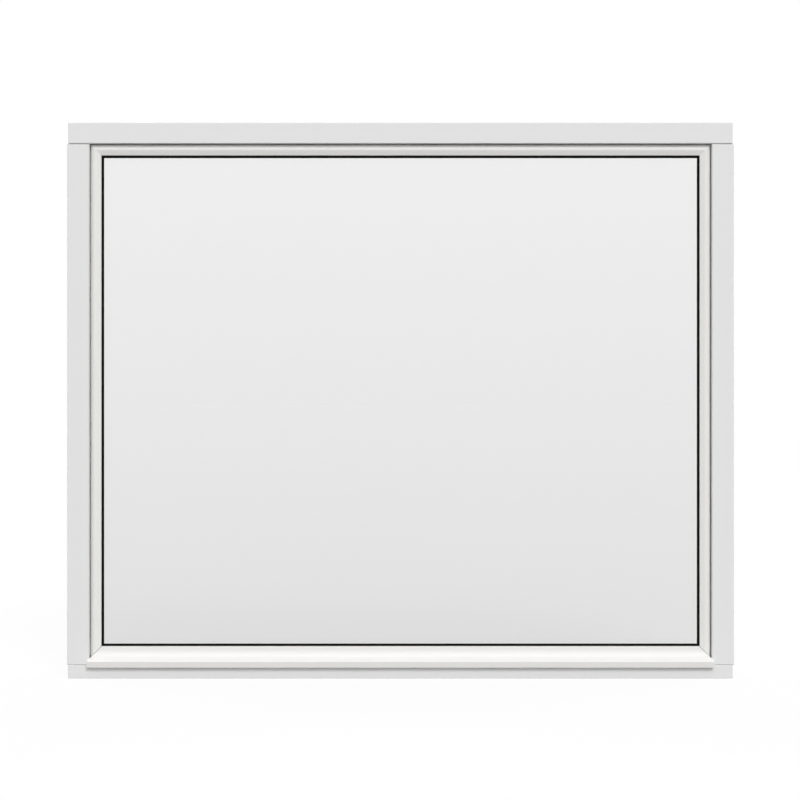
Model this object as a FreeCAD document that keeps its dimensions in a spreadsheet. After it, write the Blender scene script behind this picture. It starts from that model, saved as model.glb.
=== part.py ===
# A fixed picture window: a painted timber frame glazed from outside with a sealed triple unit,
# which mitred aluminium beads hold in. The bottom bead runs out over the sill as a drip nose.
#
# The row frame: X runs along the sill, Y from outside to the room, Z up. The origin is in the middle
# of the sill's underside. Each long piece is drawn in a frame of its own, where X (u) points from the
# edge of the window to its middle, Y (v) points in from the outer face and Z (w) runs along the piece.
import FreeCAD, Part
import Sketcher
import os

# The driving dimensions: alias, value in millimetres or degrees, and what it measures.
SIZES = [
    ("frame_width", 1200, "frame, across the outer faces of the jambs"),
    ("frame_height", 1000, "frame, sill underside to head top"),
    ("frame_depth", 105, "frame, outer face to room face"),
    ("jamb_face", 39.7, "jamb, outer edge to rebate"),
    ("head_face", 37.4, "head, top to rebate"),
    ("sill_face", 24, "sill, front face height and the seat of the jambs"),
    ("sill_rebate", 36.1, "sill, underside to rebate"),
    ("sill_flat", 3, "sill, level strip in front of the weathered slope"),
    ("end_setback", 2, "head and sill ends, behind the outer faces of the jambs"),
    ("head_arris", 1, "bevel of the head's lower front edge and ends"),
    ("jamb_arris", 1.2, "bevel of the jambs' inner front edges and ends"),
    ("sill_arris", 1.2, "bevel of the sill's upper front edge and ends"),
    ("outer_arris", 0.5, "bevel of the front edges that run round the outside"),
    ("wall_arris", 1.5, "bevel of the edges at the back, against the wall"),
    ("head_joint", 1.3, "open joint between head and jamb, as seen from outside"),
    ("sill_joint", 0.5, "open joint between jamb and sill, as seen from outside"),
    ("joint_depth", 6, "depth of the open joints"),
    ("stop_height", 15.5, "stop that the glass bears on, above the rebate"),
    ("stop_fall", 6.5, "fall of the stop's surface towards the room"),
    ("stop_round", 3, "rounding of the stop's edge at the room face"),
    ("lining_inset", 11, "lining groove, in from the frame's edge"),
    ("lining_width", 12.5, "lining groove, width for a lining board"),
    ("lining_depth", 10, "lining groove, depth from the room face"),
    ("flashing_inset", 10, "flashing groove, in from the outer face"),
    ("flashing_width", 5, "flashing groove, width under the sill"),
    ("flashing_depth", 9, "flashing groove, depth up into the sill"),
    ("fixing_inset", 150, "fixing holes, from the ends of the jamb's rebate"),
    ("fixing_hole", 8, "fixing holes, diameter through the jamb"),
    ("plug_hole", 15, "counterbore for a cover plug, diameter"),
    ("plug_depth", 14, "counterbore for a cover plug, depth from the stop's highest line"),
    ("glass_setback", 17, "outer face of the glass, behind the frame's outer face"),
    ("pane_thickness", 4, "each of the three panes"),
    ("cavity", 16, "each of the two gas spaces"),
    ("glass_clearance", 5, "gap between the glass edge and the rebate"),
    ("seal_height", 3.5, "edge seal of the unit, in from the glass edge"),
    ("spacer_height", 6.5, "spacer bar, in from the edge seal"),
    ("outer_gasket_depth", 4, "outer gasket, between bead and glass"),
    ("outer_gasket_lip", 3.9, "outer gasket, width that shows beyond the bead"),
    ("inner_gasket_depth", 4, "inner gasket, between glass and stop"),
    ("inner_gasket_lip", 0.5, "inner gasket, width that shows beyond the stop"),
    ("bead_width", 20.4, "bead, rebate to sight line"),
    ("bead_gap", 0.5, "bead, clear of the rebate"),
    ("bead_recess", 9.5, "bead, sight line behind the frame's outer face"),
    ("bead_tilt", 18, "bead face, degrees towards the glass"),
    ("bead_wall", 2, "wall of the bead extrusions"),
    ("shoulder_round", 9, "bead, rounding of the shoulder by the rebate"),
    ("leg_gap", 1, "end of the bead's fixing leg, in front of the glass face"),
    ("edge_round", 0.8, "bead, rounding of the small edges"),
    ("groove_inset", 2.5, "gasket groove in the bead, from the sight line"),
    ("groove_width", 3, "gasket groove in the bead, width"),
    ("groove_depth", 1.7, "gasket groove in the bead, depth"),
    ("groove_wall", 1.5, "flange beside the gasket groove"),
    ("foot_gap", 0.3, "gasket foot, slack in its groove"),
    ("sill_slope", 12, "sill front, degrees of fall to the outside"),
    ("nose_slope", 32, "drip nose, degrees of fall to the outside"),
    ("lip_recess", 7, "bottom bead, upright lip behind the frame's outer face"),
    ("sweep_round", 13.5, "bottom bead, hollow between the lip and the slope"),
    ("nose_reach", 9.1, "drip nose, in front of the frame"),
    ("nose_drop", 5, "drip nose, top edge below the sill's rebate"),
    ("nose_face", 11.6, "drip nose, height of the front face"),
    ("nose_lean", 1.2, "drip nose, foot of the front face behind its top edge"),
    ("nose_wall", 2, "drip nose, wall of the front face"),
    ("nose_round", 1, "drip nose, rounding of the top edge"),
    ("drip_round", 1.6, "drip nose, rounding of the bottom edge"),
    ("bead_end_gap", 0.9, "bottom bead, clear of each jamb"),
    ("cap_thickness", 4.6, "end cap of the drip nose, at its front"),
    ("cap_root", 1.4, "end cap of the drip nose, at its back"),
    ("cap_gap", 0.5, "end cap, in front of the frame"),
    ("block_length", 100, "setting block under the glass"),
    ("block_inset", 150, "setting block middle, from the glass edge"),
    ("trim_over", 5, "how far the end cuts run past the work"),
]

# Sizes that follow from the driving ones, as expressions.
REBATE_WIDTH = "(Sizes.frame_width - 2 * Sizes.jamb_face)"
REBATE_HEIGHT = "(Sizes.frame_height - Sizes.head_face - Sizes.sill_rebate)"
REBATE_MIDDLE = "(Sizes.sill_rebate + Sizes.frame_height - Sizes.head_face) / 2"
PANE_WIDTH = f"({REBATE_WIDTH} - 2 * Sizes.glass_clearance)"
PANE_HEIGHT = f"({REBATE_HEIGHT} - 2 * Sizes.glass_clearance)"
UNIT_DEPTH = "(3 * Sizes.pane_thickness + 2 * Sizes.cavity)"
UNIT_BACK = f"(Sizes.glass_setback + {UNIT_DEPTH})"
STOP_FRONT = f"({UNIT_BACK} + Sizes.inner_gasket_depth)"
BEAD_BACK = "(Sizes.glass_setback - Sizes.outer_gasket_depth)"
OUTER_FACE = "-Sizes.frame_depth / 2"
END_REACH = "(Sizes.jamb_face + Sizes.sill_rebate)"

# How each side of the window turns its local frame: degrees about Y, and the length of its rebate.
TURN = {"left": 0, "right": 180, "top": 90, "bottom": -90}
REBATE_LENGTH = {
    "left": REBATE_HEIGHT, "right": REBATE_HEIGHT, "top": REBATE_WIDTH, "bottom": REBATE_WIDTH,
}
FRAME_EDGE = {
    "left": ("-Sizes.frame_width / 2", REBATE_MIDDLE),
    "right": ("Sizes.frame_width / 2", REBATE_MIDDLE),
    "top": ("0", "Sizes.frame_height"),
    "bottom": ("0", "0"),
}
REBATE_EDGE = {
    "left": (f"-{REBATE_WIDTH} / 2", REBATE_MIDDLE),
    "right": (f"{REBATE_WIDTH} / 2", REBATE_MIDDLE),
    "top": ("0", "Sizes.frame_height - Sizes.head_face"),
    "bottom": ("0", "Sizes.sill_rebate"),
}

NEAR = 0.01

document = FreeCAD.newDocument("PictureWindow")
sheet = document.addObject("Spreadsheet::Sheet", "Sizes")
for row, (alias, value, meaning) in enumerate(SIZES, start=1):
    sheet.set(f"A{row}", meaning)
    sheet.set(f"B{row}", str(value))
    sheet.setAlias(f"B{row}", alias)
document.recompute()


def new_body(name):
    body = document.addObject("PartDesign::Body", name)
    body.Label = name
    return body


def new_sketch(body, name, role):
    """An empty sketch on one of the body's own origin planes."""
    sketch = body.newObject("Sketcher::SketchObject", f"{body.Name}_{name}")
    plane = next(item for item in body.Origin.OriginFeatures if item.Role == role)
    sketch.AttachmentSupport = [(plane, "")]
    sketch.MapMode = "FlatFace"
    return sketch


def add_loop(sketch, corners):
    """A closed loop of straight edges, each named corner held at its two expressions from the origin."""
    first = len(sketch.Geometry)
    count = len(corners)
    turn = FreeCAD.Rotation(FreeCAD.Vector(0, 0, 1), 360 / count)
    points = [FreeCAD.Vector(1, 0, 0)]
    while len(points) < count:
        points.append(turn.multVec(points[-1]))
    for number, point in enumerate(points):
        sketch.addGeometry(Part.LineSegment(point, points[(number + 1) % count]), False)
    for number in range(count):
        after = first + (number + 1) % count
        sketch.addConstraint(Sketcher.Constraint("Coincident", first + number, 2, after, 1))
    for number, (corner, places) in enumerate(corners.items()):
        starts = (points[number].x, points[number].y)
        for kind, letter, place, start in zip(("DistanceX", "DistanceY"), "uv", places, starts):
            held = sketch.addConstraint(Sketcher.Constraint(kind, -1, 1, first + number, 1, start))
            sketch.renameConstraint(held, f"{corner}_{letter}")
            sketch.setExpression(f"Constraints.{corner}_{letter}", place)


def add_pad(body, sketch, length):
    """The sketch carried the same way to both sides of its plane."""
    pad = body.newObject("PartDesign::Pad", f"{body.Name}_pad")
    pad.Profile = sketch
    pad.SideType = "Symmetric"
    pad.setExpression("Length", length)
    document.recompute()
    return pad


def add_cut(body, sketch):
    """The sketch cut right through the body, both ways."""
    before = body.Shape.Volume
    cut = body.newObject("PartDesign::Pocket", f"{sketch.Name}_cut")
    cut.Profile = sketch
    cut.Type = "ThroughAll"
    cut.SideType = "Symmetric"
    document.recompute()
    if body.Shape.Volume >= before:
        raise RuntimeError(f"{cut.Name} took nothing away")
    return cut


def dress_edges(body, kind, name, size, chosen):
    """A Fillet or a Chamfer on the edges of the body so far for which chosen(edge) holds."""
    base = body.Tip
    edges = [f"Edge{number}" for number, edge in enumerate(base.Shape.Edges, start=1) if chosen(edge)]
    if not edges:
        raise RuntimeError(f"{body.Name} has no edge for {name}")
    dressing = body.newObject(f"PartDesign::{kind}", f"{body.Name}_{name}")
    dressing.Base = (base, edges)
    dressing.setExpression("Radius" if kind == "Fillet" else "Size", size)
    document.recompute()
    return dressing


def lengthwise(sketch, *corners):
    """A test for the edges that run along the piece from the named corners of its section."""
    spots = [
        (sketch.getDatum(f"{corner}_u").Value, sketch.getDatum(f"{corner}_v").Value)
        for corner in corners
    ]

    def chosen(edge):
        ends = [vertex.Point for vertex in edge.Vertexes]
        return any(
            all(abs(end.x - u) < NEAR and abs(end.y - v) < NEAR for end in ends) for u, v in spots
        )

    return chosen


def inner_front(edge):
    """The test for the edges in the frame's outer face, but for the one along the window's own edge."""
    ends = [vertex.Point for vertex in edge.Vertexes]
    return all(abs(end.y) < NEAR for end in ends) and any(end.x > NEAR for end in ends)


def place(piece, edge, side):
    """Turns a piece to its side of the window and binds it to that side's edge."""
    along, height = edge[side]
    piece.Placement.Rotation = FreeCAD.Rotation(FreeCAD.Vector(0, 1, 0), TURN[side])
    piece.setExpression("Placement.Base.x", along)
    piece.setExpression("Placement.Base.y", OUTER_FACE)
    piece.setExpression("Placement.Base.z", height)


def add_mitres(body, seat, half, reach, step=None):
    """Cuts both ends off along a mitre that starts at the rebate's corner.

    seat is where the rebate lies in the body's u, half is half the rebate's length and reach is how
    far the mitre runs. step, if given, is a lower u down to which the ends are cut off square.
    """
    sketch = new_sketch(body, "ends", "XZ_Plane")
    for end, sign in (("near", "-"), ("far", "")):
        corners = {
            f"{end}_seat": (seat, f"{sign}({half})"),
            f"{end}_tip": (f"{seat} + {reach}", f"{sign}({half} - {reach})"),
            f"{end}_top": (f"{seat} + {reach}", f"{sign}({half} + {END_REACH})"),
            f"{end}_out": (step or seat, f"{sign}({half} + {END_REACH})"),
        }
        if step:
            corners[f"{end}_step"] = (step, f"{sign}({half})")
        add_loop(sketch, corners)
    document.recompute()
    return add_cut(body, sketch)


def rebated_section(body, face):
    """The section of the head and the jambs: a board with a lining groove and a stop for the glass."""
    groove_end = "Sizes.lining_inset + Sizes.lining_width"
    groove_floor = "Sizes.frame_depth - Sizes.lining_depth"
    sketch = new_sketch(body, "section", "XY_Plane")
    add_loop(sketch, {
        "outer_front": ("0", "0"),
        "rebate_front": (face, "0"),
        "rebate_back": (face, STOP_FRONT),
        "stop_glass": (f"{face} + Sizes.stop_height", STOP_FRONT),
        "stop_room": (f"{face} + Sizes.stop_height - Sizes.stop_fall", "Sizes.frame_depth"),
        "groove_end": (groove_end, "Sizes.frame_depth"),
        "groove_end_floor": (groove_end, groove_floor),
        "groove_start_floor": ("Sizes.lining_inset", groove_floor),
        "groove_start": ("Sizes.lining_inset", "Sizes.frame_depth"),
        "outer_room": ("0", "Sizes.frame_depth"),
    })
    return sketch


def sill_section(body):
    """The sill: a weathered front, a step up to the rebate, the stop, and grooves below and behind."""
    groove_end = "Sizes.lining_inset + Sizes.lining_width"
    groove_floor = "Sizes.frame_depth - Sizes.lining_depth"
    flashing_end = "Sizes.flashing_inset + Sizes.flashing_width"
    sketch = new_sketch(body, "section", "XY_Plane")
    add_loop(sketch, {
        "outer_front": ("0", "0"),
        "front_top": ("Sizes.sill_face", "0"),
        "slope_front": ("Sizes.sill_face", "Sizes.sill_flat"),
        "step_foot": (f"Sizes.sill_rebate + {sill_top(BEAD_BACK)}", BEAD_BACK),
        "step_top": ("Sizes.sill_rebate", BEAD_BACK),
        "rebate_back": ("Sizes.sill_rebate", STOP_FRONT),
        "stop_glass": ("Sizes.sill_rebate + Sizes.stop_height", STOP_FRONT),
        "stop_room": ("Sizes.sill_rebate + Sizes.stop_height - Sizes.stop_fall", "Sizes.frame_depth"),
        "groove_end": (groove_end, "Sizes.frame_depth"),
        "groove_end_floor": (groove_end, groove_floor),
        "groove_start_floor": ("Sizes.lining_inset", groove_floor),
        "groove_start": ("Sizes.lining_inset", "Sizes.frame_depth"),
        "outer_room": ("0", "Sizes.frame_depth"),
        "flashing_end": ("0", flashing_end),
        "flashing_end_floor": ("Sizes.flashing_depth", flashing_end),
        "flashing_start_floor": ("Sizes.flashing_depth", "Sizes.flashing_inset"),
        "flashing_start": ("0", "Sizes.flashing_inset"),
    })
    return sketch


STOP_REACH = "(Sizes.stop_height + Sizes.trim_over)"


def make_head():
    body = new_body("frame_head")
    section = rebated_section(body, "Sizes.head_face")
    add_pad(body, section, "Sizes.frame_width - 2 * Sizes.end_setback")
    dress_edges(body, "Fillet", "stop_edge", "Sizes.stop_round", lengthwise(section, "stop_room"))
    dress_edges(body, "Chamfer", "wall_arris", "Sizes.wall_arris", lengthwise(section, "outer_room"))
    add_mitres(body, "Sizes.head_face", f"{REBATE_WIDTH} / 2", STOP_REACH)
    dress_edges(body, "Chamfer", "front_arris", "Sizes.head_arris", inner_front)
    dress_edges(body, "Chamfer", "outer_arris", "Sizes.outer_arris", lengthwise(section, "outer_front"))
    place(body, FRAME_EDGE, "top")
    return body


def make_sill():
    body = new_body("frame_sill")
    section = sill_section(body)
    add_pad(body, section, "Sizes.frame_width - 2 * Sizes.end_setback")
    dress_edges(body, "Fillet", "stop_edge", "Sizes.stop_round", lengthwise(section, "stop_room"))
    dress_edges(body, "Chamfer", "wall_arris", "Sizes.wall_arris", lengthwise(section, "outer_room"))
    add_mitres(body, "Sizes.sill_rebate", f"{REBATE_WIDTH} / 2", STOP_REACH, step="Sizes.sill_face")
    dress_edges(body, "Chamfer", "front_arris", "Sizes.sill_arris", inner_front)
    dress_edges(body, "Chamfer", "outer_arris", "Sizes.outer_arris", lengthwise(section, "outer_front"))
    place(body, FRAME_EDGE, "bottom")
    return body


def make_jamb(side):
    """A jamb stands on the sill's step and runs up to the head, so its two ends differ."""
    to_head = f"{REBATE_HEIGHT} / 2"
    to_sill = f"{REBATE_HEIGHT} / 2 + Sizes.sill_rebate - Sizes.sill_face"
    body = new_body(f"frame_jamb_{side}")
    section = rebated_section(body, "Sizes.jamb_face")
    pad = body.newObject("PartDesign::Pad", f"{body.Name}_pad")
    pad.Profile = section
    pad.SideType = "Two sides"
    pad.setExpression("Length", to_head if side == "left" else to_sill)
    pad.setExpression("Length2", to_sill if side == "left" else to_head)
    document.recompute()
    dress_edges(body, "Fillet", "stop_edge", "Sizes.stop_round", lengthwise(section, "stop_room"))
    dress_edges(body, "Chamfer", "wall_arris", "Sizes.wall_arris", lengthwise(section, "outer_room"))
    add_mitres(body, "Sizes.jamb_face", f"{REBATE_HEIGHT} / 2", STOP_REACH)
    dress_edges(body, "Chamfer", "front_arris", "Sizes.jamb_arris", inner_front)
    dress_edges(body, "Chamfer", "outer_arris", "Sizes.outer_arris", lengthwise(section, "outer_front"))
    open_joints(body, side, to_head, to_sill)
    add_fixing_holes(body)
    place(body, FRAME_EDGE, side)
    return body


def open_joints(body, side, to_head, to_sill):
    """Takes a thin slice off the front of both ends of a jamb, so that its joints show as fine lines."""
    head_sign, sill_sign = ("", "-") if side == "left" else ("-", "")
    sketch = new_sketch(body, "joints", "YZ_Plane")
    for end, sign, length, gap in (
        ("head", head_sign, to_head, "Sizes.head_joint"), ("sill", sill_sign, to_sill, "Sizes.sill_joint"),
    ):
        add_loop(sketch, {
            f"{end}_front": ("-Sizes.trim_over", f"{sign}({length} - {gap})"),
            f"{end}_back": ("Sizes.joint_depth", f"{sign}({length} - {gap})"),
            f"{end}_back_over": ("Sizes.joint_depth", f"{sign}({length} + Sizes.trim_over)"),
            f"{end}_front_over": ("-Sizes.trim_over", f"{sign}({length} + Sizes.trim_over)"),
        })
    document.recompute()
    return add_cut(body, sketch)


def add_fixing_holes(body):
    """Two counterbored holes through the stop and on through the jamb, into the wall."""
    hole_line = f"(({STOP_FRONT}) + Sizes.frame_depth) / 2"
    sketch = new_sketch(body, "fixings", "YZ_Plane")
    sketch.setExpression(
        "AttachmentOffset.Base.z", "Sizes.jamb_face + Sizes.stop_height"
    )
    for number, sign in enumerate(("-", "")):
        sketch.addGeometry(Part.Circle(), False)
        radius = sketch.addConstraint(Sketcher.Constraint("Radius", number, 1))
        sketch.setExpression(f"Constraints[{radius}]", "Sizes.fixing_hole / 2")
        inward = sketch.addConstraint(Sketcher.Constraint("DistanceX", -1, 1, number, 3, 1))
        sketch.setExpression(f"Constraints[{inward}]", hole_line)
        along = sketch.addConstraint(Sketcher.Constraint("DistanceY", -1, 1, number, 3, 1))
        sketch.setExpression(
            f"Constraints[{along}]", f"{sign}({REBATE_HEIGHT} / 2 - Sizes.fixing_inset)"
        )
    document.recompute()
    before = body.Shape.Volume
    hole = body.newObject("PartDesign::Hole", f"{body.Name}_fixing_holes")
    hole.Profile = sketch
    hole.DepthType = "ThroughAll"
    hole.setExpression("Diameter", "Sizes.fixing_hole")
    hole.HoleCutType = "Counterbore"
    hole.HoleCutCustomValues = True
    hole.setExpression("HoleCutDiameter", "Sizes.plug_hole")
    hole.setExpression("HoleCutDepth", "Sizes.plug_depth")
    document.recompute()
    if body.Shape.Volume >= before:
        raise RuntimeError(f"{hole.Name} took nothing away")


# The gasket groove lies the same way in all four beads, so that one gasket section fits them all.
GROOVE_END = "(Sizes.bead_width - Sizes.groove_inset)"
GROOVE_START = f"({GROOVE_END} - Sizes.groove_width)"
GROOVE_FLOOR = f"({BEAD_BACK} - Sizes.groove_depth)"
FLANGE_START = f"({GROOVE_START} - Sizes.groove_wall)"
TILT_TAN = "tan(Sizes.bead_tilt * 1 deg)"
SLOPE_TAN = "tan(Sizes.nose_slope * 1 deg)"


def bead_face(place_u, under="0"):
    """How deep the tilted face of a side or top bead lies at a given u, or a wall's thickness under it."""
    wall = f"{under} / cos(Sizes.bead_tilt * 1 deg)"
    return f"Sizes.bead_recess - (Sizes.bead_width - {place_u}) * {TILT_TAN} + {wall}"


def make_bead(side):
    """A thin-walled bead: fixing leg by the rebate, round shoulder, tilted face and gasket groove."""
    body = new_body(f"bead_{side}")
    leg_end = "Sizes.glass_setback - Sizes.leg_gap"
    leg_back = "(Sizes.bead_gap + Sizes.bead_wall)"
    section = new_sketch(body, "section", "XY_Plane")
    add_loop(section, {
        "leg_outer": ("Sizes.bead_gap", leg_end),
        "shoulder": ("Sizes.bead_gap", bead_face("Sizes.bead_gap")),
        "sight_edge": ("Sizes.bead_width", "Sizes.bead_recess"),
        "sight_back": ("Sizes.bead_width", BEAD_BACK),
        "groove_end": (GROOVE_END, BEAD_BACK),
        "groove_end_floor": (GROOVE_END, GROOVE_FLOOR),
        "groove_start_floor": (GROOVE_START, GROOVE_FLOOR),
        "groove_start": (GROOVE_START, BEAD_BACK),
        "flange": (FLANGE_START, BEAD_BACK),
        "flange_root": (FLANGE_START, bead_face(FLANGE_START, "Sizes.bead_wall")),
        "shoulder_inner": (leg_back, bead_face(leg_back, "Sizes.bead_wall")),
        "leg_inner": (leg_back, leg_end),
    })
    add_pad(body, section, REBATE_LENGTH[side])
    dress_edges(body, "Fillet", "shoulder", "Sizes.shoulder_round", lengthwise(section, "shoulder"))
    dress_edges(body, "Fillet", "hollow", "Sizes.shoulder_round - Sizes.bead_wall",
                lengthwise(section, "shoulder_inner"))
    dress_edges(body, "Fillet", "sight_edge", "Sizes.edge_round", lengthwise(section, "sight_edge"))
    add_mitres(body, "0", f"{REBATE_LENGTH[side]} / 2", "(Sizes.bead_width + Sizes.trim_over)")
    place(body, REBATE_EDGE, side)
    return body


NOSE_TOP = "(-Sizes.nose_drop)"
NOSE_BOTTOM = f"({NOSE_TOP} - Sizes.nose_face)"
NOSE_FRONT = "(-Sizes.nose_reach)"
NOSE_FOOT = f"({NOSE_FRONT} + Sizes.nose_lean)"
SLOPE_WALL = "Sizes.bead_wall / cos(Sizes.nose_slope * 1 deg)"
BOTTOM_LENGTH = f"({REBATE_WIDTH} - 2 * Sizes.bead_end_gap)"


def slope_top(place_v):
    """How high the bottom bead's slope lies at a given v."""
    return f"{NOSE_TOP} + ({place_v} - {NOSE_FRONT}) * {SLOPE_TAN}"


def sill_top(place_v):
    """How high the weathered front of the sill lies at a given v, seen from the rebate."""
    rise = f"({place_v} - Sizes.sill_flat) * tan(Sizes.sill_slope * 1 deg)"
    return f"Sizes.sill_face - Sizes.sill_rebate + {rise}"


def make_bottom_bead():
    """The bottom bead: an upright lip that sweeps out into the weathered slope and the drip nose."""
    body = new_body("bead_bottom")
    leg_front = f"({BEAD_BACK} - Sizes.bead_wall)"
    nose_inner = f"({NOSE_FOOT} + Sizes.nose_wall)"
    section = new_sketch(body, "section", "XY_Plane")
    add_loop(section, {
        "lip_back": ("Sizes.bead_width", BEAD_BACK),
        "lip_top": ("Sizes.bead_width", "Sizes.lip_recess"),
        "sweep": (slope_top("Sizes.lip_recess"), "Sizes.lip_recess"),
        "nose_top": (NOSE_TOP, NOSE_FRONT),
        "nose_bottom": (NOSE_BOTTOM, NOSE_FOOT),
        "nose_bottom_inner": (NOSE_BOTTOM, nose_inner),
        "nose_under": (f"{slope_top(nose_inner)} - {SLOPE_WALL}", nose_inner),
        "leg_root": (f"{slope_top(leg_front)} - {SLOPE_WALL}", leg_front),
        "leg_foot_front": (sill_top(leg_front), leg_front),
        "leg_foot_back": (sill_top(BEAD_BACK), BEAD_BACK),
        "groove_start": (GROOVE_START, BEAD_BACK),
        "groove_start_floor": (GROOVE_START, GROOVE_FLOOR),
        "groove_end_floor": (GROOVE_END, GROOVE_FLOOR),
        "groove_end": (GROOVE_END, BEAD_BACK),
    })
    add_pad(body, section, BOTTOM_LENGTH)
    dress_edges(body, "Fillet", "sweep", "Sizes.sweep_round", lengthwise(section, "sweep"))
    dress_edges(body, "Fillet", "nose", "Sizes.nose_round", lengthwise(section, "nose_top"))
    dress_edges(body, "Fillet", "drip", "Sizes.drip_round", lengthwise(section, "nose_bottom"))
    dress_edges(body, "Fillet", "lip_edge", "Sizes.edge_round", lengthwise(section, "lip_top"))
    add_mitres(body, "0", f"{BOTTOM_LENGTH} / 2", "(Sizes.bead_width + Sizes.trim_over)")
    place(body, REBATE_EDGE, "bottom")
    return body


def make_nose_cap(side):
    """A moulded cap that closes the drip nose's end in front of the jamb and flares out to its front."""
    sign, end = ("", "-") if side == "left" else ("-", "")
    body = new_body(f"nose_cap_{side}")
    section = new_sketch(body, "section", "XY_Plane")
    add_loop(section, {
        "slope_back": (slope_top("(-Sizes.cap_gap)"), "-Sizes.cap_gap"),
        "nose_top": (NOSE_TOP, NOSE_FRONT),
        "nose_bottom": (NOSE_BOTTOM, NOSE_FOOT),
        "bottom_back": (NOSE_BOTTOM, "-Sizes.cap_gap"),
    })
    pad = body.newObject("PartDesign::Pad", f"{body.Name}_pad")
    pad.Profile = section
    pad.Reversed = side == "right"
    pad.setExpression("Length", "Sizes.cap_thickness")
    document.recompute()
    dress_edges(body, "Fillet", "nose", "Sizes.nose_round", lengthwise(section, "nose_top"))
    dress_edges(body, "Fillet", "drip", "Sizes.drip_round", lengthwise(section, "nose_bottom"))
    flare = new_sketch(body, "flare", "YZ_Plane")
    add_loop(flare, {
        "front": (NOSE_FRONT, f"{sign}Sizes.cap_thickness"),
        "front_over": (NOSE_FRONT, f"{sign}(Sizes.cap_thickness + Sizes.trim_over)"),
        "back_over": ("Sizes.trim_over", f"{sign}(Sizes.cap_thickness + Sizes.trim_over)"),
        "back_root": ("Sizes.trim_over", f"{sign}Sizes.cap_root"),
        "back": ("-Sizes.cap_gap", f"{sign}Sizes.cap_root"),
    })
    document.recompute()
    add_cut(body, flare)
    place(body, REBATE_EDGE, "bottom")
    body.setExpression("Placement.Base.x", f"{end}{BOTTOM_LENGTH} / 2")
    return body


def make_outer_gasket(side):
    """A gasket with its foot in the bead's groove and a lip that lies on the glass."""
    foot_start = f"{GROOVE_START} + Sizes.foot_gap"
    foot_end = f"{GROOVE_END} - Sizes.foot_gap"
    foot_top = f"{GROOVE_FLOOR} + Sizes.foot_gap"
    tip = "Sizes.bead_width + Sizes.outer_gasket_lip"
    body = new_body(f"outer_gasket_{side}")
    section = new_sketch(body, "section", "XY_Plane")
    add_loop(section, {
        "glass_start": (FLANGE_START, "Sizes.glass_setback"),
        "flange": (FLANGE_START, BEAD_BACK),
        "foot_start": (foot_start, BEAD_BACK),
        "foot_start_top": (foot_start, foot_top),
        "foot_end_top": (foot_end, foot_top),
        "foot_end": (foot_end, BEAD_BACK),
        "sight_edge": ("Sizes.bead_width", BEAD_BACK),
        "lip_tip": (tip, "Sizes.glass_setback - Sizes.outer_gasket_depth / 3"),
        "lip_glass": (tip, "Sizes.glass_setback"),
    })
    add_pad(body, section, REBATE_LENGTH[side])
    add_mitres(body, "0", f"{REBATE_LENGTH[side]} / 2", f"({tip} + Sizes.trim_over)")
    place(body, REBATE_EDGE, side)
    return body


def make_inner_gasket(side):
    """The strip that beds the glass on the stop, with a lip that shows in the room."""
    tip = "Sizes.stop_height + Sizes.inner_gasket_lip"
    body = new_body(f"inner_gasket_{side}")
    section = new_sketch(body, "section", "XY_Plane")
    add_loop(section, {
        "glass_start": ("Sizes.stop_height / 2", UNIT_BACK),
        "lip_glass": (tip, UNIT_BACK),
        "lip_tip": (tip, f"{UNIT_BACK} + Sizes.inner_gasket_depth / 3"),
        "stop_edge": ("Sizes.stop_height", STOP_FRONT),
        "stop_start": ("Sizes.stop_height / 2", STOP_FRONT),
    })
    add_pad(body, section, REBATE_LENGTH[side])
    add_mitres(body, "0", f"{REBATE_LENGTH[side]} / 2", f"({tip} + Sizes.trim_over)")
    place(body, REBATE_EDGE, side)
    return body


def pane_depth(number):
    """How deep the front of a pane lies, counted from 0 at the outer pane."""
    return f"{OUTER_FACE} + Sizes.glass_setback + {number} * (Sizes.pane_thickness + Sizes.cavity)"


def make_pane(name, number):
    pane = document.addObject("Part::Box", name)
    pane.Label = name
    pane.setExpression("Length", PANE_WIDTH)
    pane.setExpression("Width", "Sizes.pane_thickness")
    pane.setExpression("Height", PANE_HEIGHT)
    pane.setExpression("Placement.Base.x", f"-{PANE_WIDTH} / 2")
    pane.setExpression("Placement.Base.y", pane_depth(number))
    pane.setExpression("Placement.Base.z", "Sizes.sill_rebate + Sizes.glass_clearance")
    return pane


def make_ring(name, number, outer_inset, inner_inset):
    """A flat ring that fills the gas space behind a pane, between two distances from the glass edge."""
    body = new_body(name)
    sketch = new_sketch(body, "ring", "XZ_Plane")
    for loop, inset in (("outer", outer_inset), ("inner", inner_inset)):
        across = f"({PANE_WIDTH} / 2 - {inset})"
        up = f"({PANE_HEIGHT} / 2 - {inset})"
        add_loop(sketch, {
            f"{loop}_low_left": (f"-{across}", f"-{up}"),
            f"{loop}_low_right": (across, f"-{up}"),
            f"{loop}_high_right": (across, up),
            f"{loop}_high_left": (f"-{across}", up),
        })
    document.recompute()
    add_pad(body, sketch, "Sizes.cavity")
    body.setExpression("Placement.Base.y", f"{pane_depth(number)} + Sizes.pane_thickness + Sizes.cavity / 2")
    body.setExpression("Placement.Base.z", REBATE_MIDDLE)
    return body


def make_setting_block(side):
    """A block on the sill's rebate that carries the glass near one end."""
    sign = "-" if side == "left" else ""
    block = document.addObject("Part::Box", f"setting_block_{side}")
    block.Label = block.Name
    block.setExpression("Length", "Sizes.block_length")
    block.setExpression("Width", UNIT_DEPTH)
    block.setExpression("Height", "Sizes.glass_clearance")
    middle = f"{sign}({PANE_WIDTH} / 2 - Sizes.block_inset)"
    block.setExpression("Placement.Base.x", f"{middle} - Sizes.block_length / 2")
    block.setExpression("Placement.Base.y", f"{OUTER_FACE} + Sizes.glass_setback")
    block.setExpression("Placement.Base.z", "Sizes.sill_rebate")
    return block


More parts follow.
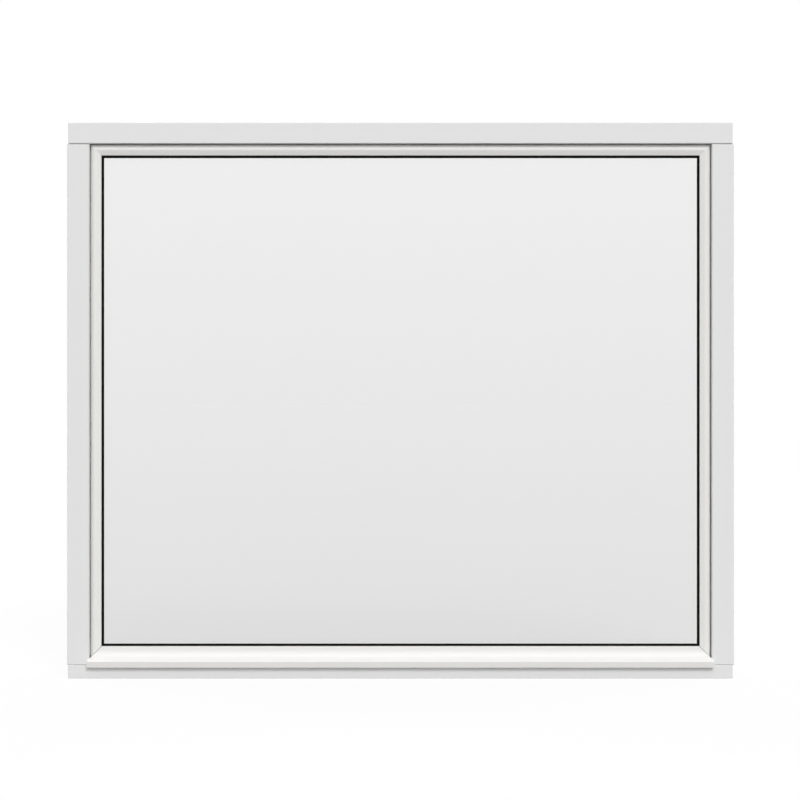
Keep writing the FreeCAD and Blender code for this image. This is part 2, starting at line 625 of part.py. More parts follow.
def write_steps(pieces):
    """Checks each finished piece and writes it to a file of its own name."""
    document.recompute()
    for item in document.Objects:
        if "Invalid" in item.State or "Error" in item.State:
            raise RuntimeError(f"{item.Label} didn't recompute: {item.State}")
    os.makedirs("parts", exist_ok=True)
    for piece in pieces:
        shape = piece.Shape
        if shape.isNull() or not shape.isValid() or len(shape.Solids) != 1:
            raise RuntimeError(f"{piece.Label} isn't one valid solid")
        shape.exportStep(f"parts/{piece.Label}.step")


pieces = [make_head(), make_jamb("left"), make_jamb("right"), make_sill()]
pieces += [make_bead(side) for side in ("top", "left", "right")]
pieces += [make_bottom_bead(), make_nose_cap("left"), make_nose_cap("right")]
pieces += [make_outer_gasket(side) for side in TURN]
pieces += [make_inner_gasket(side) for side in TURN]
pieces += [make_pane(name, number) for number, name in enumerate(("pane_outer", "pane_middle", "pane_inner"))]
spacer_edge = "(Sizes.seal_height + Sizes.spacer_height)"
for number, gap in enumerate(("outer", "inner")):
    pieces.append(make_ring(f"spacer_{gap}", number, "Sizes.seal_height", spacer_edge))
    pieces.append(make_ring(f"edge_seal_{gap}", number, "0", "Sizes.seal_height"))
pieces += [make_setting_block("left"), make_setting_block("right")]
write_steps(pieces)
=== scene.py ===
"""The looks of a fixed picture window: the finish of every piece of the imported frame, and a plain stage."""

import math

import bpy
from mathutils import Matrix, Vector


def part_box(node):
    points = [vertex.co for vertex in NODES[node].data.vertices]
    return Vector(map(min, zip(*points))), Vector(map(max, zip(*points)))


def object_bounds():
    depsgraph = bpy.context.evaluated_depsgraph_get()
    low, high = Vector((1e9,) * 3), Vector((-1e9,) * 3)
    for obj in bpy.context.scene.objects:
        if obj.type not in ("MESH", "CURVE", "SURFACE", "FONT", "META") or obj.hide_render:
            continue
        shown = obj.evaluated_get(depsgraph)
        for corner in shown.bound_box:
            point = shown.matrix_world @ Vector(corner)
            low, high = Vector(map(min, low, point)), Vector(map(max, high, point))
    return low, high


bl_info = {
    "name": "Picture window looks",
    "version": (1, 0, 0),
    "blender": (4, 5, 0),
    "location": "3D View > Sidebar > Picture window",
    "description": "Finishes the pieces of a timber picture window and sets a plain stage for it",
    "category": "Object",
}

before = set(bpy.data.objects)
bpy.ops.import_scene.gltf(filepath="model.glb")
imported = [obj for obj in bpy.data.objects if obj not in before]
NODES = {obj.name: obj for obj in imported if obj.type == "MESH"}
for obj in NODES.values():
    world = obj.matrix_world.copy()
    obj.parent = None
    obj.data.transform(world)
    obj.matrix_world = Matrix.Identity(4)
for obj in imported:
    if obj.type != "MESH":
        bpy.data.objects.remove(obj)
CAD_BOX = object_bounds()

MM = 0.001

OUTER_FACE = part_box("frame_jamb_left")[0].y
FRAME_MIDDLE = (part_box("frame_sill")[0].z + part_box("frame_head")[1].z) / 2

# The window sits half a pixel to the right of the picture's middle and half a pixel below it.
PHOTO_PIXELS = 800
HALF_PIXEL = 0.5 / PHOTO_PIXELS

# A camera without rotation looks straight down, and tipped up by this much it looks level.
CAMERA_TILT = math.radians(90)

# How the backdrop falls off in the glass: the sky down to the horizon, and the floor, by painted shade, on to
# the window.
HORIZON_SHINE = 0.942
SKY_FALL_SINE = math.sin(math.radians(7.5))
NEAR_PAINTED_SHADE = 0.074

FLOOR_SIZE = 400
FLOOR_GAP = 0.5 * MM
FLOOR_PALE = 0.09

# Each lamp's angles go up from the level, and round to the right from the camera.
LAMP_SPREAD = math.radians(24)
LAMP_DISTANCE = 4
FILL_LAMP_RISE = math.radians(6)
FILL_LAMP_SIDE = math.radians(6)
KEY_LAMP_RISE = math.radians(41)
KEY_LAMP_SIDE = math.radians(14)
TOP_LAMP_RISE = math.radians(88)
TOP_LAMP_SIDE = 0
BACK_LAMP_RISE = math.radians(8)
BACK_LAMP_SIDE = math.radians(125)

# The sRGB curve: a straight foot up to a knee, and a power curve above it.
FULL_CHANNEL = 255
SRGB_KNEE = 0.04045
SRGB_FOOT = 12.92
SRGB_OFFSET = 0.055
SRGB_POWER = 2.4

# Roughness of each finish, at the low end of its texture and at the high end.
PAINT_ROUGHNESS = (0.5, 0.38)
COAT_ROUGHNESS = (0.3, 0.4)
CAP_ROUGHNESS = (0.4, 0.55)
RUBBER_ROUGHNESS = (0.55, 0.75)
SEAL_ROUGHNESS = (0.65, 0.8)
BLOCK_ROUGHNESS = (0.45, 0.6)
SPACER_ROUGHNESS = 0.5

PAINT_IOR = 1.5
COAT_IOR = 1.5
SPACER_IOR = 1.5
PLASTIC_IOR = 1.49
RUBBER_IOR = 1.52
GLASS_IOR = 1.52

# What the bloom on the rubber and the coat on a pane leave of their plain shine.
RUBBER_SHINE = 0.1
PLAIN_SHINE = 1.0
COATED_SHINE = 0.15

# The darker tone in the pattern of a finish, as a share of its colour; in the spacers' drying holes it is
# painted shade.
PAINT_SHADE = 0.985
RUBBER_SHADE = 0.6
VENT_PAINTED_SHADE = 0.15

# A drying hole is flat over this share of its radius, and then rounds up to its edge.
VENT_FLAT = 0.7

# Growth rings are drawn out along the trunk by this scale, and make this share of the grain.
RING_STRETCH = 0.03
RING_SHARE = 0.45

# How far the growth rings wander, in finer layers and over what scale.
RING_WANDER = 6.0
RING_WANDER_LAYERS = 2.0
RING_WANDER_SCALE = 0.4

# How many finer layers the noise of each texture has.
FIBRE_LAYERS = 4.0
PEEL_LAYERS = 2.0
DIE_LINE_LAYERS = 3.0
GRIT_LAYERS = 3.0
FLOAT_LAYERS = 0.0

# A wave texture of scale 1 repeats after this length.
WAVE_PERIOD = math.tau / 20

AXES = "XYZ"
ACROSS_WINDOW = "X"
UP_WINDOW = "Z"

LEVEL_TIMBER = ("frame_head", "frame_sill")
UPRIGHT_TIMBER = ("frame_jamb_left", "frame_jamb_right")
BEADS = ("bead_top", "bead_left", "bead_right", "bead_bottom")
NOSE_CAPS = ("nose_cap_left", "nose_cap_right")
PLAIN_PANES = ("pane_outer",)
COATED_PANES = ("pane_middle", "pane_inner")
LEVEL_GASKETS = ("outer_gasket_top", "outer_gasket_bottom", "inner_gasket_top", "inner_gasket_bottom")
UPRIGHT_GASKETS = ("outer_gasket_left", "outer_gasket_right", "inner_gasket_left", "inner_gasket_right")
SPACERS = ("spacer_outer", "spacer_inner")
EDGE_SEALS = ("edge_seal_outer", "edge_seal_inner")
SETTING_BLOCKS = ("setting_block_left", "setting_block_right")


def linear(hex_colour):
    """The linear red, green and blue of an sRGB colour such as #E1E1E1."""
    channels = [int(hex_colour[start:start + 2], 16) / FULL_CHANNEL for start in (1, 3, 5)]
    return tuple(
        value / SRGB_FOOT if value <= SRGB_KNEE
        else ((value + SRGB_OFFSET) / (1 + SRGB_OFFSET)) ** SRGB_POWER
        for value in channels
    )


def opaque(colour):
    """A colour with the alpha that a colour socket wants."""
    return (*colour, 1.0)


def shaded(colour, share):
    """A share of a colour, with the alpha that a colour socket wants."""
    return opaque([value * share for value in colour])


def grey(value):
    """A grey of one linear value, with the alpha that a colour socket wants."""
    return (value, value, value, 1.0)


def colour_property(name, description, hex_colour):
    """A colour that a user may change."""
    return bpy.props.FloatVectorProperty(
        name=name, description=description, subtype="COLOR", size=3, min=0, max=1,
        default=linear(hex_colour),
    )


def length_property(name, description, default):
    """A length that a user may change."""
    return bpy.props.FloatProperty(
        name=name, description=description, unit="LENGTH", min=0, precision=5, default=default,
    )


def strength_property(name, description, default):
    """A strength of light that a user may change."""
    return bpy.props.FloatProperty(name=name, description=description, min=0, precision=3, default=default)


class PictureWindowFinishes(bpy.types.PropertyGroup):
    """The colours and the fine sizes of the finishes."""

    paint_colour: colour_property("Timber paint", "Colour of the painted timber", "#E1E1E1")
    coat_colour: colour_property("Bead coating", "Colour of the coated aluminium beads", "#E4E3E1")
    cap_colour: colour_property("Nose caps", "Colour of the moulded end caps", "#E6E5E3")
    gasket_colour: colour_property("Gaskets", "Colour of the rubber gaskets", "#080808")
    glass_tint: colour_property("Glass tint", "Colour of the light that a pane lets through", "#F9F9F9")
    spacer_colour: colour_property("Spacers", "Colour of the spacer bars", "#2A2A2B")
    seal_colour: colour_property("Edge seal", "Colour of the sealant round the unit", "#2B2C2E")
    block_colour: colour_property("Setting blocks", "Colour of the blocks under the glass", "#4A4F58")
    ring_width: length_property("Ring width", "Growth rings of the pine, from one to the next", 4 * MM)
    fibre_width: length_property("Fibre width", "Width of the raised fibres under the paint", 0.9 * MM)
    fibre_length: length_property("Fibre length", "Length of the raised fibres under the paint", 60 * MM)
    grain_height: length_property("Grain height", "How far the grain raises the paint", 0.045 * MM)
    peel_width: length_property("Peel width", "Spacing of the ripple in the bead coating", 1.8 * MM)
    peel_height: length_property("Peel height", "Height of the ripple in the bead coating", 0.008 * MM)
    die_line_width: length_property("Die line width", "Spacing of the lines along the gaskets", 0.6 * MM)
    die_line_length: length_property("Die line length", "Length of the lines along the gaskets", 60 * MM)
    die_line_height: length_property("Die line height", "Height of the lines along the gaskets", 0.02 * MM)
    vent_spacing: length_property("Vent spacing", "From one drying hole of a spacer to the next", 5 * MM)
    vent_size: length_property("Vent size", "Diameter of the drying holes in the spacers", 1.2 * MM)
    cap_grit: length_property("Cap grit", "Grain of the texture on the nose caps", 0.8 * MM)
    seal_grit: length_property("Seal grit", "Grain of the filler in the edge seal", 1.5 * MM)
    block_grit: length_property("Block grit", "Grain of the texture on the setting blocks", 0.8 * MM)
    grit_height: length_property("Grit height", "Height of the grain on plastic and sealant", 0.01 * MM)
    float_wave: length_property("Float wave", "Length of the slow waves in the float glass", 180 * MM)
    float_height: length_property("Float height", "Height of the slow waves in the float glass", 0.004 * MM)


class PictureWindowStage(bpy.types.PropertyGroup):
    """The camera's place and the light."""

    camera_distance: length_property("Camera distance", "From the frame's outer face to the camera", 3.3)
    view_width: length_property("View width", "Width of the picture at the frame's outer face", 1.4396)
    sky_strength: strength_property("Sky light", "Even light from above and all round", 0.445)
    floor_strength: strength_property("Floor light", "Even light that comes back up from the floor", 0.09)
    key_strength: strength_property("Key lamp", "Soft lamp above the camera", 1.67)
    fill_strength: strength_property("Fill lamp", "Soft lamp beside the camera", 1.06)
    top_strength: strength_property("Top lamp", "Soft lamp straight above the window", 0.7)
    back_strength: strength_property("Back lamps", "Two soft lamps on the room side", 1.6)


def add_node(tree, kind, values=None, **settings):
    """Adds a node, sets what settings name, and sets or links its inputs."""
    node = tree.nodes.new(kind)
    for name, setting in settings.items():
        setattr(node, name, setting)
    for name, value in (values or {}).items():
        if isinstance(value, bpy.types.NodeSocket):
            tree.links.new(value, node.inputs[name])
        else:
            node.inputs[name].default_value = value
    return node


def new_material(name):
    """An empty node material, its tree, and the surface input of its output."""
    material = bpy.data.materials.new(name)
    material.use_nodes = True
    material.node_tree.nodes.clear()
    output = add_node(material.node_tree, "ShaderNodeOutputMaterial")
    return material, material.node_tree, output.inputs["Surface"]


def dress(names, material):
    """Gives the named pieces of the frame one material."""
    for name in names:
        NODES[name].data.materials.clear()
        NODES[name].data.materials.append(material)


def drawn_out(across, lengthwise, along):
    """The scales of a pattern on the three axes: one along the axis that a piece runs on, one across it."""
    return [lengthwise if axis == along else across for axis in AXES]


def painted_pine(name, finishes, along):
    """Pine, sprayed with satin paint at the works: the paint hides the wood's colour, but the hard lines of
    the growth rings and the fibres between them still lift it in fine ridges along the piece.

    The fibres are drawn coarser than real ones, which are too fine to show."""
    material, tree, surface = new_material(name)
    place = add_node(tree, "ShaderNodeTexCoord")
    trunk = add_node(
        tree, "ShaderNodeMapping",
        {"Vector": place.outputs["Object"], "Scale": drawn_out(1.0, RING_STRETCH, along)},
    )
    rings = add_node(
        tree, "ShaderNodeTexWave",
        {"Vector": trunk.outputs["Vector"], "Scale": WAVE_PERIOD / finishes.ring_width,
         "Distortion": RING_WANDER, "Detail": RING_WANDER_LAYERS, "Detail Scale": RING_WANDER_SCALE},
        wave_type="RINGS", rings_direction=along, wave_profile="SAW",
    )
    fibre_scale = drawn_out(1 / finishes.fibre_width, 1 / finishes.fibre_length, along)
    drawn = add_node(tree, "ShaderNodeMapping", {"Vector": place.outputs["Object"], "Scale": fibre_scale})
    fibres = add_node(
        tree, "ShaderNodeTexNoise",
        {"Vector": drawn.outputs["Vector"], "Scale": 1.0, "Detail": FIBRE_LAYERS},
    )
    grain = add_node(
        tree, "ShaderNodeMix",
        {"Factor": RING_SHARE, "A": fibres.outputs["Fac"], "B": rings.outputs["Fac"]},
        data_type="FLOAT",
    )
    tone = add_node(
        tree, "ShaderNodeMix",
        {"Factor": grain.outputs["Result"], "A": opaque(finishes.paint_colour),
         "B": shaded(finishes.paint_colour, PAINT_SHADE)},
        data_type="RGBA",
    )
    gloss = add_node(
        tree, "ShaderNodeMapRange",
        {"Value": grain.outputs["Result"], "To Min": PAINT_ROUGHNESS[0], "To Max": PAINT_ROUGHNESS[1]},
    )
    bump = add_node(
        tree, "ShaderNodeBump",
        {"Height": grain.outputs["Result"], "Distance": finishes.grain_height, "Strength": 1.0},
    )
    paint = add_node(
        tree, "ShaderNodeBsdfPrincipled",
        {"Base Color": tone.outputs["Result"], "Roughness": gloss.outputs["Result"],
         "Normal": bump.outputs["Normal"], "IOR": PAINT_IOR},
    )
    tree.links.new(paint.outputs["BSDF"], surface)
    return material


def coated_aluminium(finishes):
    """Extruded aluminium with a baked powder coat: an even satin film with a fine ripple."""
    material, tree, surface = new_material("powder_coated_aluminium")
    place = add_node(tree, "ShaderNodeTexCoord")
    ripple = add_node(
        tree, "ShaderNodeTexNoise",
        {"Vector": place.outputs["Object"], "Scale": 1 / finishes.peel_width, "Detail": PEEL_LAYERS},
    )
    gloss = add_node(
        tree, "ShaderNodeMapRange",
        {"Value": ripple.outputs["Fac"], "To Min": COAT_ROUGHNESS[0], "To Max": COAT_ROUGHNESS[1]},
    )
    bump = add_node(
        tree, "ShaderNodeBump",
        {"Height": ripple.outputs["Fac"], "Distance": finishes.peel_height, "Strength": 1.0},
    )
    coat = add_node(
        tree, "ShaderNodeBsdfPrincipled",
        {"Base Color": opaque(finishes.coat_colour), "Roughness": gloss.outputs["Result"],
         "Normal": bump.outputs["Normal"], "IOR": COAT_IOR},
    )
    tree.links.new(coat.outputs["BSDF"], surface)
    return material


def extruded_rubber(name, finishes, along):
    """Rubber drawn through a die: matt black, with fine lines along the strip that the die leaves.

    The lines are drawn coarser than real ones, which are too fine to show."""
    material, tree, surface = new_material(name)
    place = add_node(tree, "ShaderNodeTexCoord")
    line_scale = drawn_out(1 / finishes.die_line_width, 1 / finishes.die_line_length, along)
    drawn = add_node(tree, "ShaderNodeMapping", {"Vector": place.outputs["Object"], "Scale": line_scale})
    lines = add_node(
        tree, "ShaderNodeTexNoise",
        {"Vector": drawn.outputs["Vector"], "Scale": 1.0, "Detail": DIE_LINE_LAYERS},
    )
    tone = add_node(
        tree, "ShaderNodeMix",
        {"Factor": lines.outputs["Fac"], "A": shaded(finishes.gasket_colour, RUBBER_SHADE),
         "B": opaque(finishes.gasket_colour)},
        data_type="RGBA",
    )
    gloss = add_node(
        tree, "ShaderNodeMapRange",
        {"Value": lines.outputs["Fac"], "To Min": RUBBER_ROUGHNESS[0], "To Max": RUBBER_ROUGHNESS[1]},
    )
    bump = add_node(
        tree, "ShaderNodeBump",
        {"Height": lines.outputs["Fac"], "Distance": finishes.die_line_height, "Strength": 1.0},
    )
    rubber = add_node(
        tree, "ShaderNodeBsdfPrincipled",
        {"Base Color": tone.outputs["Result"], "Roughness": gloss.outputs["Result"],
         "Normal": bump.outputs["Normal"], "IOR": RUBBER_IOR, "Specular IOR Level": RUBBER_SHINE},
    )
    tree.links.new(rubber.outputs["BSDF"], surface)
    return material


def vented_spacer(name, finishes, middle):
    """A spacer bar of filled plastic: satin black, with a row of drying holes along its middle line, darkened
    inside with painted shade.

    A bar runs either across or up, so the sum of both places counts along any of its four sides."""
    material, tree, surface = new_material(name)
    radius = finishes.vent_size / 2
    place = add_node(tree, "ShaderNodeTexCoord")
    parts = add_node(tree, "ShaderNodeSeparateXYZ", {"Vector": place.outputs["Object"]})
    run = add_node(tree, "ShaderNodeMath", {0: parts.outputs["X"], 1: parts.outputs["Z"]}, operation="ADD")
    along = add_node(
        tree, "ShaderNodeMath",
        {0: run.outputs["Value"], 1: finishes.vent_spacing / 2}, operation="PINGPONG",
    )
    across = add_node(tree, "ShaderNodeMath", {0: parts.outputs["Y"], 1: middle}, operation="SUBTRACT")
    offset = add_node(
        tree, "ShaderNodeCombineXYZ", {"X": along.outputs["Value"], "Y": across.outputs["Value"]},
    )
    away = add_node(tree, "ShaderNodeVectorMath", {0: offset.outputs["Vector"]}, operation="LENGTH")
    hole = add_node(
        tree, "ShaderNodeMapRange",
        {"Value": away.outputs["Value"], "From Min": radius * VENT_FLAT, "From Max": radius,
         "To Min": 1.0, "To Max": 0.0},
        interpolation_type="SMOOTHSTEP",
    )
    # Painted shade: the inside of each drying hole is darkened towards black, for the shade in the hole.
    tone = add_node(
        tree, "ShaderNodeMix",
        {"Factor": hole.outputs["Result"], "A": opaque(finishes.spacer_colour),
         "B": shaded(finishes.spacer_colour, VENT_PAINTED_SHADE)},
        data_type="RGBA",
    )
    bump = add_node(
        tree, "ShaderNodeBump",
        {"Height": hole.outputs["Result"], "Distance": radius, "Strength": 1.0}, invert=True,
    )
    plastic = add_node(
        tree, "ShaderNodeBsdfPrincipled",
        {"Base Color": tone.outputs["Result"], "Roughness": SPACER_ROUGHNESS,
         "Normal": bump.outputs["Normal"], "IOR": SPACER_IOR},
    )
    tree.links.new(plastic.outputs["BSDF"], surface)
    return material


def fine_grained_plastic(name, finishes, colour, roughness, grit):
    """Plastic whose fine grain scatters its shine: on moulded pieces the mould's eroded face leaves it, and
    on sealant the filler does. The grain is drawn coarser than a real one, which is too fine to show."""
    material, tree, surface = new_material(name)
    place = add_node(tree, "ShaderNodeTexCoord")
    texture = add_node(
        tree, "ShaderNodeTexNoise",
        {"Vector": place.outputs["Object"], "Scale": 1 / grit, "Detail": GRIT_LAYERS},
    )
    gloss = add_node(
        tree, "ShaderNodeMapRange",
        {"Value": texture.outputs["Fac"], "To Min": roughness[0], "To Max": roughness[1]},
    )
    bump = add_node(
        tree, "ShaderNodeBump",
        {"Height": texture.outputs["Fac"], "Distance": finishes.grit_height, "Strength": 1.0},
    )
    plastic = add_node(
        tree, "ShaderNodeBsdfPrincipled",
        {"Base Color": opaque(colour), "Roughness": gloss.outputs["Result"],
         "Normal": bump.outputs["Normal"], "IOR": PLASTIC_IOR},
    )
    tree.links.new(plastic.outputs["BSDF"], surface)
    return material


def float_glass(name, finishes, shine):
    """Clear float glass, flat and polished by its making but for slow waves that bend what it mirrors.

    Shine is the share of its plain reflection that a coat against reflections and heat loss leaves."""
    material, tree, surface = new_material(name)
    place = add_node(tree, "ShaderNodeTexCoord")
    waves = add_node(
        tree, "ShaderNodeTexNoise",
        {"Vector": place.outputs["Object"], "Scale": 1 / finishes.float_wave, "Detail": FLOAT_LAYERS},
    )
    bump = add_node(
        tree, "ShaderNodeBump",
        {"Height": waves.outputs["Fac"], "Distance": finishes.float_height, "Strength": 1.0},
    )
    glass = add_node(
        tree, "ShaderNodeBsdfPrincipled",
        {"Base Color": opaque(finishes.glass_tint), "Roughness": 0.0, "IOR": GLASS_IOR,
         "Transmission Weight": 1.0, "Specular Tint": grey(shine), "Normal": bump.outputs["Normal"]},
    )
    tree.links.new(glass.outputs["BSDF"], surface)
    return material


class PICTURE_WINDOW_OT_paint_timber(bpy.types.Operator):
    """Paints the head, the sill and the jambs, with the grain along each of them"""

    bl_idname = "picture_window.paint_timber"
    bl_label = "Paint the timber"

    def execute(self, context):
        finishes = context.scene.picture_window_finishes
        dress(LEVEL_TIMBER, painted_pine("painted_pine_level", finishes, ACROSS_WINDOW))
        dress(UPRIGHT_TIMBER, painted_pine("painted_pine_upright", finishes, UP_WINDOW))
        return {"FINISHED"}


class PICTURE_WINDOW_OT_coat_beads(bpy.types.Operator):
    """Coats the four aluminium beads"""

    bl_idname = "picture_window.coat_beads"
    bl_label = "Coat the beads"

    def execute(self, context):
        dress(BEADS, coated_aluminium(context.scene.picture_window_finishes))
        return {"FINISHED"}


class PICTURE_WINDOW_OT_finish_caps(bpy.types.Operator):
    """Finishes the moulded caps at the ends of the drip nose"""

    bl_idname = "picture_window.finish_caps"
    bl_label = "Finish the nose caps"

    def execute(self, context):
        finishes = context.scene.picture_window_finishes
        dress(NOSE_CAPS, fine_grained_plastic(
            "moulded_cap_plastic", finishes, finishes.cap_colour, CAP_ROUGHNESS, finishes.cap_grit,
        ))
        return {"FINISHED"}


class PICTURE_WINDOW_OT_glaze(bpy.types.Operator):
    """Finishes the panes, the outer one plain and the two behind it coated"""

    bl_idname = "picture_window.glaze"
    bl_label = "Glaze the frame"

    def execute(self, context):
        finishes = context.scene.picture_window_finishes
        dress(PLAIN_PANES, float_glass("float_glass", finishes, PLAIN_SHINE))
        dress(COATED_PANES, float_glass("coated_float_glass", finishes, COATED_SHINE))
        return {"FINISHED"}


class PICTURE_WINDOW_OT_finish_gaskets(bpy.types.Operator):
    """Finishes the rubber gaskets, with the die's lines along each of them"""

    bl_idname = "picture_window.finish_gaskets"
    bl_label = "Finish the gaskets"

    def execute(self, context):
        finishes = context.scene.picture_window_finishes
        dress(LEVEL_GASKETS, extruded_rubber("extruded_rubber_level", finishes, ACROSS_WINDOW))
        dress(UPRIGHT_GASKETS, extruded_rubber("extruded_rubber_upright", finishes, UP_WINDOW))
        return {"FINISHED"}


class PICTURE_WINDOW_OT_finish_spacers(bpy.types.Operator):
    """Finishes the spacers, with the drying holes along the middle of each of them"""

    bl_idname = "picture_window.finish_spacers"
    bl_label = "Finish the spacers"

    def execute(self, context):
        finishes = context.scene.picture_window_finishes
        for name in SPACERS:
            low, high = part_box(name)
            dress([name], vented_spacer(f"vented_{name}_plastic", finishes, (low.y + high.y) / 2))
        return {"FINISHED"}


class PICTURE_WINDOW_OT_finish_seals(bpy.types.Operator):
    """Finishes the sealant round the edge of the glass unit"""

    bl_idname = "picture_window.finish_seals"
    bl_label = "Finish the edge seals"

    def execute(self, context):
        finishes = context.scene.picture_window_finishes
        dress(EDGE_SEALS, fine_grained_plastic(
            "edge_sealant", finishes, finishes.seal_colour, SEAL_ROUGHNESS, finishes.seal_grit,
        ))
        return {"FINISHED"}


class PICTURE_WINDOW_OT_finish_blocks(bpy.types.Operator):
    """Finishes the setting blocks that carry the glass unit"""

    bl_idname = "picture_window.finish_blocks"
    bl_label = "Finish the setting blocks"

    def execute(self, context):
        finishes = context.scene.picture_window_finishes
        dress(SETTING_BLOCKS, fine_grained_plastic(
            "setting_block_plastic", finishes, finishes.block_colour, BLOCK_ROUGHNESS, finishes.block_grit,
        ))
        return {"FINISHED"}


def shown_strength(tree, shown, shine, light):
    """A background's strength: as shown to the camera, as it shines in glass, and as light elsewhere."""
    path = add_node(tree, "ShaderNodeLightPath")
    in_glass = add_node(
        tree, "ShaderNodeMath",
        {0: path.outputs["Is Glossy Ray"], 1: path.outputs["Is Transmission Ray"]}, operation="MAXIMUM",
    )
    unseen = add_node(
        tree, "ShaderNodeMix",
        {"Factor": in_glass.outputs["Value"], "A": light, "B": shine}, data_type="FLOAT",
    )
    strength = add_node(
        tree, "ShaderNodeMix",
        {"Factor": path.outputs["Is Camera Ray"], "A": unseen.outputs["Result"], "B": shown},
        data_type="FLOAT",
    )
    return strength.outputs["Result"]


def make_sky(context, settings):
    """An even sky that shows as white, and in the glass falls off a little towards the horizon."""
    world = bpy.data.worlds.new("studio_sky")
    world.use_nodes = True
    tree = world.node_tree
    tree.nodes.clear()
    direction = add_node(tree, "ShaderNodeTexCoord")
    height = add_node(tree, "ShaderNodeSeparateXYZ", {"Vector": direction.outputs["Generated"]})
    fall = add_node(
        tree, "ShaderNodeMapRange",
        {"Value": height.outputs["Z"], "From Min": 0.0, "From Max": SKY_FALL_SINE,
         "To Min": HORIZON_SHINE, "To Max": 1.0},
    )
    strength = shown_strength(tree, 1.0, fall.outputs["Result"], settings.sky_strength)
    sky = add_node(tree, "ShaderNodeBackground", {"Color": grey(1.0), "Strength": strength})
    add_node(tree, "ShaderNodeOutputWorld", {"Surface": sky.outputs["Background"]})
    context.scene.world = world


def lamps(settings):
    """Each lamp's name, its angles round from the camera and up from the level, and its strength."""
    return (
        ("key_lamp", KEY_LAMP_SIDE, KEY_LAMP_RISE, settings.key_strength),
        ("fill_lamp", FILL_LAMP_SIDE, FILL_LAMP_RISE, settings.fill_strength),
        ("top_lamp", TOP_LAMP_SIDE, TOP_LAMP_RISE, settings.top_strength),
        ("back_lamp_right", BACK_LAMP_SIDE, BACK_LAMP_RISE, settings.back_strength),
        ("back_lamp_left", -BACK_LAMP_SIDE, BACK_LAMP_RISE, settings.back_strength),
    )


def make_floor(settings):
    """A pale floor that shows as white and keeps the window's shadow, and in the glass darkens a little, with
    painted shade, as it comes nearer."""
    bpy.ops.mesh.primitive_plane_add(size=FLOOR_SIZE, location=(0, 0, CAD_BOX[0].z - FLOOR_GAP))
    floor = bpy.context.object
    floor.name = "stage_floor"
    material, tree, surface = new_material("stage_floor")
    place = add_node(tree, "ShaderNodeTexCoord")
    away = add_node(tree, "ShaderNodeVectorMath", {0: place.outputs["Object"]}, operation="LENGTH")
    share = add_node(
        tree, "ShaderNodeMath",
        {0: away.outputs["Value"], 1: 1 / settings.camera_distance, 2: 1.0}, operation="MULTIPLY_ADD",
    )
    # Painted shade: in the glass the floor glows less near the window, for the shade that the window casts
    # there.
    near_painted_shade = add_node(tree, "ShaderNodeMath", {0: -NEAR_PAINTED_SHADE, 1: share.outputs["Value"]}, operation="DIVIDE")
    lamps_on_floor = sum(strength * math.sin(rise) for name, side, rise, strength in lamps(settings))
    lit = FLOOR_PALE * (settings.sky_strength + lamps_on_floor / math.pi)
    shine = add_node(
        tree, "ShaderNodeMath", {0: near_painted_shade.outputs["Value"], 1: HORIZON_SHINE - lit}, operation="ADD",
    )
    strength = shown_strength(tree, 1.0 - lit, shine.outputs["Value"], settings.floor_strength)
    glow = add_node(tree, "ShaderNodeEmission", {"Strength": strength})
    matt = add_node(tree, "ShaderNodeBsdfDiffuse", {"Color": grey(FLOOR_PALE)})
    both = add_node(tree, "ShaderNodeAddShader", {0: glow.outputs["Emission"], 1: matt.outputs["BSDF"]})
    tree.links.new(both.outputs["Shader"], surface)
    floor.data.materials.append(material)


def make_lamp(context, name, side, rise, strength):
    """A soft lamp far away, that glass and gloss don't mirror."""
    light = bpy.data.lights.new(name, "SUN")
    light.energy = strength
    light.angle = LAMP_SPREAD
    lamp = bpy.data.objects.new(name, light)
    context.scene.collection.objects.link(lamp)
    level = math.cos(rise)
    towards = Vector((level * math.sin(side), -level * math.cos(side), math.sin(rise)))
    lamp.location = Vector((0, OUTER_FACE, FRAME_MIDDLE)) + towards * LAMP_DISTANCE
    lamp.rotation_euler = towards.to_track_quat("Z", "Y").to_euler()
    lamp.visible_glossy = False
    lamp.visible_transmission = False


def make_camera(context, settings):
    """A level camera, straight in front of the window."""
    camera_data = bpy.data.cameras.new("camera")
    camera = bpy.data.objects.new("camera", camera_data)
    context.scene.collection.objects.link(camera)
    camera.location = (0, OUTER_FACE - settings.camera_distance, FRAME_MIDDLE)
    camera.rotation_euler = (CAMERA_TILT, 0, 0)
    camera_data.lens = camera_data.sensor_width * settings.camera_distance / settings.view_width
    camera_data.shift_x = -HALF_PIXEL
    camera_data.shift_y = HALF_PIXEL
    context.scene.camera = camera


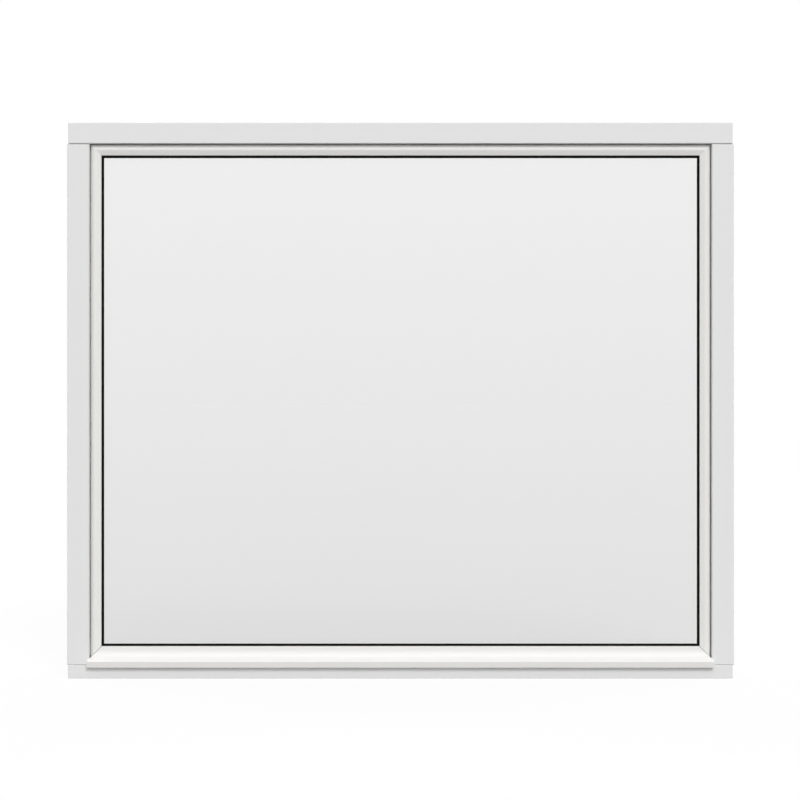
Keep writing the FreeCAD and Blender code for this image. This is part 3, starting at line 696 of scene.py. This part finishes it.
class PICTURE_WINDOW_OT_set_stage(bpy.types.Operator):
    """Sets the sky, the floor, the lamps and the camera"""

    bl_idname = "picture_window.set_stage"
    bl_label = "Set the stage"

    def execute(self, context):
        settings = context.scene.picture_window_stage
        make_sky(context, settings)
        make_floor(settings)
        for name, side, rise, strength in lamps(settings):
            make_lamp(context, name, side, rise, strength)
        make_camera(context, settings)
        context.scene.view_settings.view_transform = "Standard"
        return {"FINISHED"}


class PICTURE_WINDOW_PT_looks(bpy.types.Panel):
    """Lists the sizes and colours that a user may change, and the steps that finish the window"""

    bl_idname = "PICTURE_WINDOW_PT_looks"
    bl_label = "Picture window"
    bl_space_type = "VIEW_3D"
    bl_region_type = "UI"
    bl_category = "Picture window"

    def draw(self, context):
        for name in PictureWindowFinishes.__annotations__:
            self.layout.prop(context.scene.picture_window_finishes, name)
        for name in PictureWindowStage.__annotations__:
            self.layout.prop(context.scene.picture_window_stage, name)
        for step in STEPS:
            self.layout.operator(step.bl_idname)


STEPS = (
    PICTURE_WINDOW_OT_paint_timber,
    PICTURE_WINDOW_OT_coat_beads,
    PICTURE_WINDOW_OT_finish_caps,
    PICTURE_WINDOW_OT_glaze,
    PICTURE_WINDOW_OT_finish_gaskets,
    PICTURE_WINDOW_OT_finish_spacers,
    PICTURE_WINDOW_OT_finish_seals,
    PICTURE_WINDOW_OT_finish_blocks,
    PICTURE_WINDOW_OT_set_stage,
)
CLASSES = (PictureWindowFinishes, PictureWindowStage, *STEPS, PICTURE_WINDOW_PT_looks)


def register():
    for item in CLASSES:
        bpy.utils.register_class(item)
    bpy.types.Scene.picture_window_finishes = bpy.props.PointerProperty(type=PictureWindowFinishes)
    bpy.types.Scene.picture_window_stage = bpy.props.PointerProperty(type=PictureWindowStage)


def unregister():
    del bpy.types.Scene.picture_window_stage
    del bpy.types.Scene.picture_window_finishes
    for item in reversed(CLASSES):
        bpy.utils.unregister_class(item)


def main():
    register()
    for step in STEPS:
        group, name = step.bl_idname.split(".")
        getattr(getattr(bpy.ops, group), name)()


if __name__ == "__main__":
    main()
